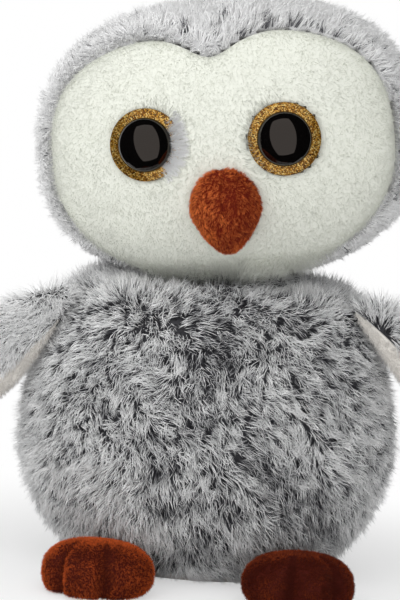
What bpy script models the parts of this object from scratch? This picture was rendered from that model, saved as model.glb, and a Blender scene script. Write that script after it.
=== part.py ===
# Plush owl: a stuffed head and body under sewn plush panels, flap wings, toed feet, a beak and safety eyes.
# Metres, +Z up. The owl faces -Y and its own left side is +X. The origin is in the middle of the base.
import math

import bmesh
import bpy
from mathutils import Vector

# Sewing
PANEL_THICK = 0.005
SEAM_GAP = 0.0003
SEAT_GAP = 0.0003
OVERRUN = 0.004

# Body: a barrel with rounded shoulders and a ball-shaped neck
BODY_WIDTH = 0.161
BODY_DEPTH = 0.134
BODY_HEIGHT = 0.1235
BASE_THICK = 0.003
SIDE_SEAM_BACK = 0.004
NECK_RADIUS = 0.043
NECK_DROP = 0.021
NECK_CLEARANCE = 0.0008

# Half-width and height along the body's side, from the base to the neck, as shares of the two sizes above
BODY_SIDE_SHARES = (
    (0.58, 0.0),
    (0.70, 0.048),
    (0.82, 0.138),
    (0.90, 0.212),
    (0.965, 0.318),
    (1.0, 0.435),
    (0.985, 0.583),
    (0.94, 0.722),
    (0.875, 0.859),
    (0.79, 0.955),
    (0.68, 1.0),
)

# Seat pellets
PELLET_BAG_WIDTH = 0.126
PELLET_BAG_DEPTH = 0.108
PELLET_BAG_HEIGHT = 0.034
BAG_POWER = 2.2

# Head: a wide squashed ball that leans and looks aside
HEAD_WIDTH = 0.165
HEAD_DEPTH = 0.126
HEAD_HEIGHT = 0.122
HEAD_POWER = 2.4
HEAD_LIFT = 0.002
HEAD_SHIFT = 0.0018
HEAD_LEAN = math.radians(8.5)
HEAD_LOOK = math.radians(6)

# White face panel: half-width and reach up and down from its own middle, with a dip in the top edge
FACE_HALF_WIDTH = 0.0735
FACE_RISE = 0.0525
FACE_FALL = 0.0540
FACE_MIDDLE_DROP = 0.005
FACE_TOP_POWER = 2.8
FACE_BOTTOM_POWER = 2.1
FACE_CHIN_BACK = 0.018
FACE_DIP = 0.011
FACE_DIP_HALF_WIDTH = 0.016

# Safety eyes
EYE_SPREAD = 0.057
EYE_RISE = 0.0012
EYE_OFF_LEVEL = 0.0011
EYE_SPLAY = math.radians(5)
EYE_SINK = 0.0008
RING_DIAMETER = 0.030
RING_THICK = 0.0012
DOME_DIAMETER = 0.0226
DOME_HEIGHT = 0.0078
SHANK_DIAMETER = 0.005
SHANK_LENGTH = 0.012
SHANK_CLEARANCE = 0.0004
WASHER_DIAMETER = 0.016
WASHER_THICK = 0.002
WASHER_DEPTH = 0.0036

# Beak
BEAK_WIDTH = 0.030
BEAK_HEIGHT = 0.036
BEAK_STANDOUT = 0.016
BEAK_DROP = 0.0272
BEAK_ASIDE = 0.0022
BEAK_SKIN = 0.003
BEAK_POWER = 2.1
BEAK_TAPER_SHARE = 0.42

# Wings: leaf-shaped flaps that hang from the shoulder, the left one a little higher
WING_LENGTH = 0.086
WING_WIDTH = 0.0346
WING_THICK = 0.013
WING_TAPER_SHARE = 0.5
WING_HINGE_SHARE = 0.915
WING_BELLY = 0.006
LEFT_WING_DROOP = math.radians(29)
RIGHT_WING_DROOP = math.radians(37)
WING_LEAN = math.radians(-12)
WING_ROOT_HEIGHT_SHARE = 0.939
WING_ROOT_FORWARD = math.radians(24)
WING_ROOT_CLEARANCE = 0.00015
WING_SEAM_TILT = math.radians(8)
WING_SEAM_OFFSET = 0.0023

# Feet: toed wedges that stick out under the hem
FOOT_LENGTH = 0.054
FOOT_WIDTH = 0.047
FOOT_HALF_HEIGHT = 0.013
FOOT_TAPER_SHARE = 0.35
FOOT_HINGE_SHARE = 0.75
FOOT_HEEL_SHARE = 0.5
FOOT_SPACING_SHARE = 0.39
FOOT_SPLAY = math.radians(18)
FOOT_SEAM_HEIGHT = 0.0125
FOOT_TUCK = 0.0006
FOOT_SKIN = 0.003
SOLE_THICK = 0.003
TOE_NOTCH_SHARE = 0.20
TOE_NOTCH_ANGLE = math.radians(27)
TOE_NOTCH_SPREAD = math.radians(9)
FOOT_POWER = 2.3

# Faces round and along each form
HEAD_STEPS = (30, 16)
FILLING_STEPS = (20, 11)
BODY_STEPS = 28
BODY_FILLING_STEPS = 20
NECK_STEPS = 5
SOCKET_STEPS = (30, 18)
FACE_STEPS = 56
WING_STEPS = (18, 14)
FOOT_STEPS = (26, 10)
FOOT_FILLING_STEPS = (18, 8)
BEAK_STEPS = (18, 10)
BAG_STEPS = (18, 8)
EYE_STEPS = 20
DOME_STEPS = 5

# Places worked out from the sizes
NECK_HEIGHT = BODY_HEIGHT - NECK_DROP
BODY_DEPTH_SHARE = BODY_DEPTH / BODY_WIDTH
HEAD_HEIGHT_PLACE = BODY_HEIGHT + HEAD_LIFT + HEAD_HEIGHT / 2
REACH = 2 * (BODY_HEIGHT + HEAD_HEIGHT + HEAD_WIDTH)
MERGE = SEAM_GAP / 10


def clear_scene():
    for old in list(bpy.data.objects):
        bpy.data.objects.remove(old, do_unlink=True)


def new_collection(name):
    made = bpy.data.collections.new(name)
    bpy.context.scene.collection.children.link(made)
    return made


def new_material(name, colour, roughness):
    made = bpy.data.materials.new(name)
    made.use_nodes = True
    shader = made.node_tree.nodes["Principled BSDF"]
    shader.inputs["Base Color"].default_value = (*colour, 1)
    shader.inputs["Roughness"].default_value = roughness
    shader.inputs["Metallic"].default_value = 0
    made.diffuse_color = (*colour, 1)
    return made


# Meshes


def finished_mesh(name, bm):
    bmesh.ops.remove_doubles(bm, verts=bm.verts, dist=MERGE)
    bmesh.ops.recalc_face_normals(bm, faces=bm.faces)
    mesh = bpy.data.meshes.new(name)
    bm.to_mesh(mesh)
    bm.free()
    mesh.shade_smooth()
    mesh.set_sharp_from_angle(angle=math.radians(50))
    return mesh


def ball(steps, shape):
    # A closed form: shape turns each point of a unit ball into its place
    bm = bmesh.new()
    bmesh.ops.create_uvsphere(bm, u_segments=steps[0], v_segments=steps[1], radius=1)
    for vert in bm.verts:
        vert.co = shape(vert.co)
    return bm


def rounded(point, half_sizes, power):
    # A point of a ball moved out to a form between a ball and a box
    spread = sum(abs(value) ** power for value in point) ** (1 / power)
    return Vector(value / spread * half for value, half in zip(point, half_sizes))


def turned(profile, steps, depth_share):
    # A closed form turned about Z from (radius, height) points, which start and end on the axis
    bm = bmesh.new()
    verts = [bm.verts.new((radius, 0, height)) for radius, height in profile]
    edges = [bm.edges.new(pair) for pair in zip(verts, verts[1:])]
    bmesh.ops.spin(
        bm,
        geom=verts + edges,
        cent=(0, 0, 0),
        axis=(0, 0, 1),
        angle=math.tau,
        steps=steps,
        use_merge=True,
    )
    for vert in bm.verts:
        vert.co.y *= depth_share
    return bm


def cut_below(bm, height):
    # Takes off what lies below a height and closes the cut with a flat face
    cut = bmesh.ops.bisect_plane(
        bm,
        geom=bm.verts[:] + bm.edges[:] + bm.faces[:],
        plane_co=(0, 0, height),
        plane_no=(0, 0, -1),
        clear_outer=True,
    )
    rim = [item for item in cut["geom_cut"] if isinstance(item, bmesh.types.BMEdge)]
    bmesh.ops.edgeloop_fill(bm, edges=rim)
    return bm


# Objects


def place(obj, parent, location=(0, 0, 0), rotation=(0, 0, 0)):
    obj.parent = parent
    obj.location = location
    obj.rotation_euler = rotation
    return obj


def add_empty(name, parent, location=(0, 0, 0), rotation=(0, 0, 0)):
    empty = bpy.data.objects.new(name, None)
    empty.empty_display_size = NECK_RADIUS
    PARTS.objects.link(empty)
    return place(empty, parent, location, rotation)


def add_part(name, mesh, material, parent=None, location=(0, 0, 0), rotation=(0, 0, 0)):
    part = bpy.data.objects.new(name, mesh)
    if not mesh.materials:
        mesh.materials.append(material)
    PARTS.objects.link(part)
    part.material_slots[0].link = "OBJECT"
    part.material_slots[0].material = material
    return place(part, parent, location, rotation)


def add_cutter(name, mesh, parent=None, location=(0, 0, 0), rotation=(0, 0, 0)):
    cutter = bpy.data.objects.new(name, mesh)
    cutter.hide_render = True
    cutter.display_type = "WIRE"
    CUTTERS.objects.link(cutter)
    return place(cutter, parent, location, rotation)


def add_half_space(name, point, outward, parent=None):
    # A large block that covers the side of a plane that outward points to
    bm = bmesh.new()
    bmesh.ops.create_cube(bm, size=2 * REACH)
    bmesh.ops.translate(bm, verts=bm.verts, vec=(0, 0, REACH))
    turn = Vector(outward).to_track_quat("Z", "Y").to_euler()
    return add_cutter(name, finished_mesh(name, bm), parent, point, turn)


def cut(part, cutter, operation="DIFFERENCE"):
    boolean = part.modifiers.new(cutter.name, "BOOLEAN")
    boolean.operation = operation
    boolean.solver = "EXACT"
    boolean.object = cutter


# Body


def body_profile(inset):
    # The body's side, drawn in by an inset, from the middle of the base to the top of the neck
    half_width = BODY_WIDTH / 2 - inset
    top = BODY_HEIGHT - inset
    side = [(share * half_width, inset + rise * (top - inset)) for share, rise in BODY_SIDE_SHARES]
    radius = NECK_RADIUS - inset
    start = math.asin(NECK_DROP / NECK_RADIUS)
    neck = []
    for step in range(NECK_STEPS):
        angle = start + (math.pi / 2 - start) * step / NECK_STEPS
        neck.append((radius * math.cos(angle), NECK_HEIGHT + radius * math.sin(angle)))
    return [(0, inset)] + side + neck + [(0, NECK_HEIGHT + radius)]


def body_mesh(name, steps, inset=0.0):
    return finished_mesh(name, turned(body_profile(inset), steps, BODY_DEPTH_SHARE))


def body_side(height):
    # The body's half-width at a height, and how fast it grows there
    points = [(share * BODY_WIDTH / 2, rise * BODY_HEIGHT) for share, rise in BODY_SIDE_SHARES]
    for (low_radius, low), (high_radius, high) in zip(points, points[1:]):
        if height <= high:
            break
    slope = (high_radius - low_radius) / (high - low)
    return low_radius + slope * (height - low), slope


def body_surface(height, side_angle):
    # A point of the body's side and its outward direction, at an angle forward of its left side
    radius, slope = body_side(height)
    place_x = radius * math.cos(side_angle)
    place_y = -radius * math.sin(side_angle)
    point = Vector((place_x, place_y * BODY_DEPTH_SHARE, height))
    outward = Vector((place_x, place_y / BODY_DEPTH_SHARE, -radius * slope)).normalized()
    return point, outward


def build_body():
    outer = body_mesh("body_form", BODY_STEPS)
    inner = add_cutter("body_cavity", body_mesh("body_cavity", BODY_FILLING_STEPS, PANEL_THICK))
    above_base = BASE_THICK + SEAM_GAP
    below = add_half_space("below_panels", (0, 0, above_base), (0, 0, -1))
    over_base = add_half_space("over_base", (0, 0, BASE_THICK), (0, 0, 1))
    seam = SEAM_GAP / 2
    behind = add_half_space("behind_front", (0, SIDE_SEAM_BACK - seam, 0), (0, 1, 0))
    before = add_half_space("before_back", (0, SIDE_SEAM_BACK + seam, 0), (0, -1, 0))

    front = add_part("body_front_panel", outer, FUR)
    cut(front, inner)
    cut(front, below)
    cut(front, behind)
    for name, side in (("left", 1), ("right", -1)):
        across = add_half_space(f"body_beside_{name}", (side * seam, 0, 0), (-side, 0, 0))
        back = add_part(f"body_back_panel_{name}", outer, FUR)
        cut(back, inner)
        cut(back, below)
        cut(back, before)
        cut(back, across)
    base = add_part("body_base_panel", outer, LINING)
    cut(base, over_base)

    def bag_cutter(name, grow):
        half = (PELLET_BAG_WIDTH / 2 + grow, PELLET_BAG_DEPTH / 2 + grow, PELLET_BAG_HEIGHT + grow)
        crown = finished_mesh(name, ball(BAG_STEPS, lambda point: rounded(point, half, BAG_POWER)))
        return add_cutter(name, crown, None, (0, 0, above_base))

    stuffing = body_mesh("body_filling", BODY_FILLING_STEPS, PANEL_THICK + SEAT_GAP)
    bag = add_part("pellet_bag", stuffing, BAG_CLOTH)
    cut(bag, below)
    cut(bag, bag_cutter("bag_crown", 0), "INTERSECT")
    filling = add_part("body_filling", stuffing, FIBRE)
    cut(filling, below)
    cut(filling, bag_cutter("bag_space", SEAT_GAP))


# Head


def head_shape(inset=0.0):
    half = (HEAD_WIDTH / 2 - inset, HEAD_DEPTH / 2 - inset, HEAD_HEIGHT / 2 - inset)
    return lambda point: rounded(point, half, HEAD_POWER)


def head_front(across, up):
    # How far forward the head's surface lies at a place on the face
    side = abs(2 * across / HEAD_WIDTH)
    rise = abs(2 * up / HEAD_HEIGHT)
    front = (1 - side**HEAD_POWER - rise**HEAD_POWER) ** (1 / HEAD_POWER)
    return -front * HEAD_DEPTH / 2


def face_radius(angle):
    # The face panel's edge seen from the front, at an angle up from its left side
    across = abs(math.cos(angle))
    upward = math.sin(angle)
    if upward >= 0:
        power, reach = FACE_TOP_POWER, FACE_RISE
    else:
        power, reach = FACE_BOTTOM_POWER, FACE_FALL
    edge = ((across / FACE_HALF_WIDTH) ** power + (abs(upward) / reach) ** power) ** (-1 / power)
    if upward > 0:
        offset = edge * across / FACE_DIP_HALF_WIDTH
        edge -= FACE_DIP * math.exp(-offset * offset)
    return edge


def face_prism(name, grow):
    # The face panel's outline carried back from in front of the head to where its edge lies under the chin
    bm = bmesh.new()
    made = bmesh.ops.create_circle(bm, segments=FACE_STEPS, radius=1, cap_ends=True)
    for vert in made["verts"]:
        angle = math.atan2(vert.co.y, vert.co.x)
        radius = face_radius(angle) + grow
        across = radius * math.cos(angle)
        vert.co = Vector((across, grow - FACE_CHIN_BACK, radius * math.sin(angle) - FACE_MIDDLE_DROP))
    grown = bmesh.ops.extrude_face_region(bm, geom=bm.faces[:])
    moved = [item for item in grown["geom"] if isinstance(item, bmesh.types.BMVert)]
    bmesh.ops.translate(bm, verts=moved, vec=(0, -HEAD_DEPTH, 0))
    return finished_mesh(name, bm)


def eye_profile_mesh(name, profile):
    return finished_mesh(name, turned(profile, EYE_STEPS, 1))


def washer_profile(outer, inner, low, high):
    return [(inner, low), (outer, low), (outer, high), (inner, high), (inner, low)]


def dome_profile():
    # The shank and the dome in one moulding, from the shank's end out to the dome's top
    shank = SHANK_DIAMETER / 2
    half = DOME_DIAMETER / 2
    foot = RING_THICK + SEAT_GAP
    points = [(0, -SHANK_LENGTH), (shank, -SHANK_LENGTH), (shank, foot), (half, foot)]
    for step in range(1, DOME_STEPS):
        angle = math.pi / 2 * step / DOME_STEPS
        points.append((half * math.cos(angle), foot + DOME_HEIGHT * math.sin(angle)))
    return points + [(0, foot + DOME_HEIGHT)]


def build_eye(name, side, head, face, filling):
    across = side * EYE_SPREAD / 2
    rise = EYE_RISE - side * EYE_OFF_LEVEL
    seat = add_empty(
        f"{name}_eye_seat",
        head,
        (across, head_front(across, rise) + EYE_SINK, rise),
        (math.pi / 2, 0, side * EYE_SPLAY),
    )
    bore = SHANK_DIAMETER / 2 + SHANK_CLEARANCE
    ring = RING_DIAMETER / 2
    washer = WASHER_DIAMETER / 2
    washer_back = -WASHER_DEPTH - SEAT_GAP - WASHER_THICK
    ring_mesh = eye_profile_mesh(f"{name}_ring", washer_profile(ring, bore, 0, RING_THICK))
    add_part(f"{name}_eye_ring", ring_mesh, GLITTER, seat)
    add_part(f"{name}_eye_dome", eye_profile_mesh(f"{name}_dome", dome_profile()), EYE_BLACK, seat)
    washer_sides = washer_profile(washer, bore, washer_back, washer_back + WASHER_THICK)
    add_part(f"{name}_eye_washer", eye_profile_mesh(f"{name}_washer", washer_sides), NYLON, seat)

    # The pocket for the washer, the bore for the shank and the recess for the ring in one cutter
    recess = ring + SEAT_GAP
    pocket = washer + SEAT_GAP
    pocket_back = -SHANK_LENGTH - SEAT_GAP
    front = OVERRUN + RING_THICK
    space = [
        (0, pocket_back),
        (pocket, pocket_back),
        (pocket, -WASHER_DEPTH),
        (bore, -WASHER_DEPTH),
        (bore, -SEAT_GAP),
        (recess, -SEAT_GAP),
        (recess, front),
        (0, front),
    ]
    eye_space = add_cutter(f"{name}_eye_space", eye_profile_mesh(f"{name}_eye_space", space), seat)
    cut(face, eye_space)
    cut(filling, eye_space)


def beak_shape(inset):
    # An upside-down drop, widest above its middle
    half = (BEAK_WIDTH / 2 - inset, BEAK_STANDOUT - inset, BEAK_HEIGHT / 2 - inset)

    def shape(point):
        place = rounded(point, half, BEAK_POWER)
        place.x *= 1 + BEAK_TAPER_SHARE * min(0, point.z)
        return place

    return shape


def build_beak(head):
    centre = (BEAK_ASIDE, head_front(BEAK_ASIDE, -BEAK_DROP), -BEAK_DROP)
    cavity_mesh = finished_mesh("beak_cavity", ball(BEAK_STEPS, beak_shape(BEAK_SKIN)))
    cavity = add_cutter("beak_cavity", cavity_mesh, head, centre)
    behind_mesh = finished_mesh("face_behind_beak", ball(HEAD_STEPS, head_shape(-SEAT_GAP)))
    behind = add_cutter("face_behind_beak", behind_mesh, head)
    skin = finished_mesh("beak_form", ball(BEAK_STEPS, beak_shape(0)))
    seam = SEAM_GAP / 2
    for name, side in (("left", 1), ("right", -1)):
        half = add_part(f"beak_{name}", skin, BEAK_PLUSH, head, centre)
        cut(half, cavity)
        cut(half, behind)
        cut(half, add_half_space(f"beak_beside_{name}", (BEAK_ASIDE + side * seam, 0, 0), (-side, 0, 0), head))
    stuffing = finished_mesh("beak_filling", ball(BEAK_STEPS, beak_shape(BEAK_SKIN + SEAT_GAP)))
    filling = add_part("beak_filling", stuffing, FIBRE, head, centre)
    cut(filling, behind)


def build_head():
    pivot = add_empty("head_pivot", None, (0, 0, NECK_HEIGHT))
    head = add_empty(
        "head_frame",
        pivot,
        (HEAD_SHIFT, 0, HEAD_HEIGHT_PLACE - NECK_HEIGHT),
        (0, -HEAD_LEAN, 0),
    )
    head = add_empty("head_looking", head, (0, 0, 0), (0, 0, -HEAD_LOOK))
    outer = finished_mesh("head_form", ball(HEAD_STEPS, head_shape()))
    cavity_mesh = finished_mesh("head_cavity", ball(FILLING_STEPS, head_shape(PANEL_THICK)))
    cavity = add_cutter("head_cavity", cavity_mesh, head)

    def socket_shape(point):
        radius = NECK_RADIUS + NECK_CLEARANCE
        return Vector((radius * point.x, radius * BODY_DEPTH_SHARE * point.y, radius * point.z))

    socket_mesh = finished_mesh("neck_socket", ball(SOCKET_STEPS, socket_shape))
    socket = add_cutter("neck_socket", socket_mesh, pivot)

    face = add_part("face_panel", outer, FACE_PLUSH, head)
    cut(face, cavity)
    cut(face, add_cutter("face_outline", face_prism("face_outline", 0), head), "INTERSECT")
    cut(face, socket)
    opening = add_cutter("face_opening", face_prism("face_opening", SEAM_GAP), head)
    seam = SEAM_GAP / 2
    for name, side in (("left", 1), ("right", -1)):
        panel = add_part(f"head_panel_{name}", outer, FUR, head)
        cut(panel, cavity)
        cut(panel, opening)
        cut(panel, socket)
        cut(panel, add_half_space(f"head_beside_{name}", (side * seam, 0, 0), (-side, 0, 0), head))
    stuffing = finished_mesh("head_filling", ball(FILLING_STEPS, head_shape(PANEL_THICK + SEAT_GAP)))
    filling = add_part("head_filling", stuffing, FIBRE, head)
    cut(filling, socket)
    build_eye("left", 1, head, face, filling)
    build_eye("right", -1, head, face, filling)
    build_beak(head)


# Wings


def wing_mesh(name, side):
    # A leaf along X from its rounded root, whose hinge is at the mesh's origin, to its tip
    half_length = WING_LENGTH / 2
    hinge = WING_HINGE_SHARE * half_length

    def shape(point):
        along = point.z
        swell = 1 + WING_TAPER_SHARE * along
        chord = point.x * WING_WIDTH / 2 * swell
        belly = WING_BELLY * math.sin(math.pi / 2 * (1 + along)) ** 2 * (along + 1) / 2
        thick = point.y * WING_THICK / 2 * swell
        return Vector((side * (along * half_length + hinge), thick, chord - belly))

    return finished_mesh(name, ball(WING_STEPS, shape))


def build_wing(name, side, droop):
    root, outward = body_surface(WING_ROOT_HEIGHT_SHARE * BODY_HEIGHT, WING_ROOT_FORWARD)
    nose = (1 - WING_HINGE_SHARE) * WING_LENGTH / 2
    sideways = Vector((outward.x, 0, outward.z)).normalized()
    hinge = root + sideways * (nose + WING_ROOT_CLEARANCE)
    pivot = add_empty(f"{name}_wing_pivot", None, (side * hinge.x, hinge.y, hinge.z))
    turn = (WING_LEAN, side * droop, 0)
    hung = add_empty(f"{name}_wing_frame", pivot, (0, 0, 0), turn)
    leaf = wing_mesh(f"{name}_wing_form", side)
    back = Vector((0, math.cos(WING_SEAM_TILT), -math.sin(WING_SEAM_TILT)))
    middle = -back * WING_SEAM_OFFSET
    half_gap = back * SEAM_GAP / 2
    behind = add_half_space(f"{name}_wing_behind", middle - half_gap, back, hung)
    before = add_half_space(f"{name}_wing_before", middle + half_gap, -back, hung)
    upper = add_part(f"{name}_wing_upper", leaf, FUR, hung)
    cut(upper, behind)
    lining = add_part(f"{name}_wing_lining", leaf, LINING, hung)
    cut(lining, before)


# Feet


def foot_shape(inset):
    # A wedge along -Y from its rounded heel, whose hinge is at the mesh's origin, with notches by its toes
    half_length = FOOT_LENGTH / 2
    hinge = FOOT_HINGE_SHARE * half_length
    half = (FOOT_WIDTH / 2 - inset, half_length - inset, FOOT_HALF_HEIGHT - inset)

    def shape(point):
        angle = abs(math.atan2(point.x, -point.y))
        off_notch = (angle - TOE_NOTCH_ANGLE) / TOE_NOTCH_SPREAD
        rim = point.x * point.x + point.y * point.y
        notch = 1 - TOE_NOTCH_SHARE * rim * math.exp(-off_notch * off_notch)
        place = rounded(point, half, FOOT_POWER)
        back = place.y / half_length
        narrow = 1 - FOOT_HEEL_SHARE * max(0, back)
        swell = 1 - FOOT_TAPER_SHARE * back
        return Vector((place.x * notch * narrow, place.y * notch - hinge, place.z * swell))

    return shape


def build_foot(name, side):
    heel = (1 - FOOT_HINGE_SHARE) * FOOT_LENGTH / 2
    forward = math.acos(FOOT_SPACING_SHARE * BODY_WIDTH / 2 / body_side(FOOT_SEAM_HEIGHT)[0])
    seam, outward = body_surface(FOOT_SEAM_HEIGHT, forward)
    hinge = seam + outward * (heel + SEAT_GAP - FOOT_TUCK)
    turn = (0, 0, side * FOOT_SPLAY)
    pivot = add_empty(f"{name}_foot_pivot", None, (side * hinge.x, hinge.y, hinge.z), turn)
    floor = -hinge.z
    form = finished_mesh(f"{name}_foot_form", cut_below(ball(FOOT_STEPS, foot_shape(0)), floor))
    upper_floor = floor + SOLE_THICK + SEAM_GAP
    cavity_bm = cut_below(ball(FOOT_FILLING_STEPS, foot_shape(FOOT_SKIN)), floor)
    cavity = add_cutter(f"{name}_foot_cavity", finished_mesh(f"{name}_foot_cavity", cavity_bm), pivot)
    upper_edge = (0, 0, upper_floor)
    under = add_half_space(f"{name}_foot_under", upper_edge, (0, 0, -1), pivot)
    over = add_half_space(f"{name}_sole_over", (0, 0, floor + SOLE_THICK), (0, 0, 1), pivot)
    upper = add_part(f"{name}_foot_upper", form, FOOT_PLUSH, pivot)
    cut(upper, cavity)
    cut(upper, under)
    sole = add_part(f"{name}_foot_sole", form, FOOT_PLUSH, pivot)
    cut(sole, over)
    core = cut_below(ball(FOOT_FILLING_STEPS, foot_shape(FOOT_SKIN + SEAT_GAP)), upper_floor)
    add_part(f"{name}_foot_filling", finished_mesh(f"{name}_foot_filling", core), FIBRE, pivot)


clear_scene()
PARTS = new_collection("plush_owl")
CUTTERS = new_collection("cutters")
FUR = new_material("frosted_long_pile", (0.42, 0.42, 0.41), 0.9)
FACE_PLUSH = new_material("white_short_pile", (0.78, 0.77, 0.73), 0.9)
LINING = new_material("pale_short_pile", (0.72, 0.69, 0.66), 0.9)
BEAK_PLUSH = new_material("rust_short_pile", (0.28, 0.055, 0.02), 0.85)
FOOT_PLUSH = new_material("red_brown_short_pile", (0.09, 0.014, 0.008), 0.85)
EYE_BLACK = new_material("gloss_black_plastic", (0.01, 0.01, 0.01), 0.08)
GLITTER = new_material("gold_glitter_plastic", (0.42, 0.27, 0.06), 0.35)
NYLON = new_material("natural_nylon", (0.75, 0.74, 0.70), 0.5)
FIBRE = new_material("white_fibre_filling", (0.80, 0.80, 0.80), 0.95)
BAG_CLOTH = new_material("pellet_bag_cloth", (0.62, 0.60, 0.55), 0.9)
build_body()
build_head()
for owl_side, side_sign, droop in (("left", 1, LEFT_WING_DROOP), ("right", -1, RIGHT_WING_DROOP)):
    build_wing(owl_side, side_sign, droop)
    build_foot(owl_side, side_sign)
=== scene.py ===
import math

import bmesh
import bpy
import numpy as np
from mathutils import Euler, Matrix, Vector
from mathutils.kdtree import KDTree


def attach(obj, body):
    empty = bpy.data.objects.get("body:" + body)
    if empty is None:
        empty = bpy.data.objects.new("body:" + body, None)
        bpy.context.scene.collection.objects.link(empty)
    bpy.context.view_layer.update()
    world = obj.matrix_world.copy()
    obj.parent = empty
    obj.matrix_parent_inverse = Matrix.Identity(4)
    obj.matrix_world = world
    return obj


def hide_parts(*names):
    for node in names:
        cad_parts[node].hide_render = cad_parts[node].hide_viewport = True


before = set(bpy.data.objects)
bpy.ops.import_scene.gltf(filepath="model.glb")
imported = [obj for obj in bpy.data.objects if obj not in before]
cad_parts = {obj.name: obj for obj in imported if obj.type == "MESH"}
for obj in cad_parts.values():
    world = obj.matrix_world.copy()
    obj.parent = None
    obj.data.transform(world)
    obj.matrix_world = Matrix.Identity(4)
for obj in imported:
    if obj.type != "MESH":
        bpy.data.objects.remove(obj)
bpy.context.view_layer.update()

MM = 0.001

# Sizes of the sewn forms, in metres, as the solids have them
BODY_WIDTH = 0.161
BODY_DEPTH = 0.134
BODY_HEIGHT = 0.1235
BODY_SIDE_SHARES = (
    (0.58, 0.0),
    (0.70, 0.048),
    (0.82, 0.138),
    (0.90, 0.212),
    (0.965, 0.318),
    (1.0, 0.435),
    (0.985, 0.583),
    (0.94, 0.722),
    (0.875, 0.859),
    (0.79, 0.955),
    (0.68, 1.0),
)
SIDE_SEAM_BACK = 0.004
BASE_THICK = 0.003
BASE_TOP_SHARE = 0.64
NECK_RADIUS = 0.043
NECK_DROP = 0.021
NECK_HEIGHT = BODY_HEIGHT - NECK_DROP
BODY_DEPTH_SHARE = BODY_DEPTH / BODY_WIDTH
HEAD_SIZE = (0.165, 0.126, 0.122)
HEAD_POWER = 2.4
HEAD_PLACE = (0.0018, 0, 0.1865)
HEAD_LEAN = math.radians(8.5)
HEAD_LOOK = math.radians(6)
FACE_HALF_WIDTH = 0.0735
FACE_RISE = 0.0525
FACE_FALL = 0.0540
FACE_MIDDLE_DROP = 0.005
FACE_CHIN_BACK = 0.018
EYE_SPREAD = 0.057
EYE_RISE = 0.0012
EYE_OFF_LEVEL = 0.0011
EYE_SPLAY = math.radians(5)
EYE_SINK = 0.0008
RING_DIAMETER = 0.030
RING_THICK = 0.0012
RING_EDGE = 0.0004
DOME_DIAMETER = 0.0226
DOME_HEIGHT = 0.0078
DOME_EDGE = 0.0003
SHANK_DIAMETER = 0.005
SHANK_LENGTH = 0.012
SHANK_CLEARANCE = 0.0004
BEAK_SIZE = (0.030, 0.032, 0.036)
BEAK_DROP = 0.0272
BEAK_ASIDE = 0.0022
WING_LENGTH = 0.086
WING_WIDTH = 0.0346
WING_THICK = 0.013
WING_HINGE_SHARE = 0.915
WING_PIVOT = (0.06236, -0.02191, 0.118)
LEFT_WING_DROOP = math.radians(29)
RIGHT_WING_DROOP = math.radians(37)
WING_LEAN = math.radians(-12)
FOOT_SIZE = (0.047, 0.054, 0.026)
FOOT_HINGE_SHARE = 0.75
FOOT_PIVOT = (0.03365, -0.04919, 0.00862)
FOOT_SPLAY = math.radians(18)
GAP = 0.0003

HEAD_TURN = Matrix.Rotation(-HEAD_LEAN, 4, "Y") @ Matrix.Rotation(-HEAD_LOOK, 4, "Z")
HEAD_FRAME = Matrix.Translation(HEAD_PLACE) @ HEAD_TURN


def wing_frame(side):
    pivot = Matrix.Translation((side * WING_PIVOT[0], WING_PIVOT[1], WING_PIVOT[2]))
    droop = LEFT_WING_DROOP if side > 0 else RIGHT_WING_DROOP
    return pivot @ Euler((WING_LEAN, side * droop, 0)).to_matrix().to_4x4()


def foot_frame(side):
    pivot = Matrix.Translation((side * FOOT_PIVOT[0], FOOT_PIVOT[1], FOOT_PIVOT[2]))
    return pivot @ Matrix.Rotation(side * FOOT_SPLAY, 4, "Z")


# Colours and finishes


def linear(colour):
    channels = [int(colour[place : place + 2], 16) / 255 for place in (1, 3, 5)]
    return (*(c / 12.92 if c <= 0.04045 else ((c + 0.055) / 1.055) ** 2.4 for c in channels), 1)


def add_node(tree, kind, inputs=None, **settings):
    node = tree.nodes.new(kind)
    for key, value in settings.items():
        setattr(node, key, value)
    for key, value in (inputs or {}).items():
        if isinstance(value, bpy.types.NodeSocket):
            tree.links.new(value, node.inputs[key])
        else:
            node.inputs[key].default_value = value
    return node


def new_finish(name, inputs):
    material = bpy.data.materials.new(name)
    material.use_nodes = True
    tree = material.node_tree
    tree.nodes.clear()
    shader = add_node(tree, "ShaderNodeBsdfPrincipled", inputs)
    add_node(tree, "ShaderNodeOutputMaterial", {"Surface": shader.outputs["BSDF"]})
    return material, tree, shader


def pile_finish(name, root, dark, light, reach, soften=0.5):
    # Dyed polyester fibres: matt, each with a faint gloss. The map's X is how light a fibre is, and its Y
    # runs from root to tip. The root's colour goes over into the tip's, which lies between dark and light.
    # Where that begins is a share of the length, which reach gives for the darkest and the lightest fibres
    material, tree, shader = new_finish(name, {"Roughness": 0.8, "Specular IOR Level": 0.2})
    place = add_node(tree, "ShaderNodeUVMap", uv_map="OFBake")
    split = add_node(tree, "ShaderNodeSeparateXYZ", {"Vector": place.outputs["UV"]})
    start = add_node(
        tree, "ShaderNodeMapRange", {"Value": split.outputs["X"], "To Min": reach[0], "To Max": reach[1]}
    )
    end = add_node(tree, "ShaderNodeMath", {0: start.outputs["Result"], 1: soften}, operation="ADD")
    along = add_node(
        tree,
        "ShaderNodeMapRange",
        {"Value": split.outputs["Y"], "From Min": start.outputs["Result"], "From Max": end.outputs["Value"]},
        interpolation_type="SMOOTHSTEP",
    )
    tip = add_node(
        tree,
        "ShaderNodeMix",
        {0: split.outputs["X"], 6: linear(dark), 7: linear(light)},
        data_type="RGBA",
    )
    colour = add_node(
        tree,
        "ShaderNodeMix",
        {0: along.outputs["Result"], 6: linear(root), 7: tip.outputs[2]},
        data_type="RGBA",
    )
    tree.links.new(colour.outputs[2], shader.inputs["Base Color"])
    return material


# Arithmetic on many places at once


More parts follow.
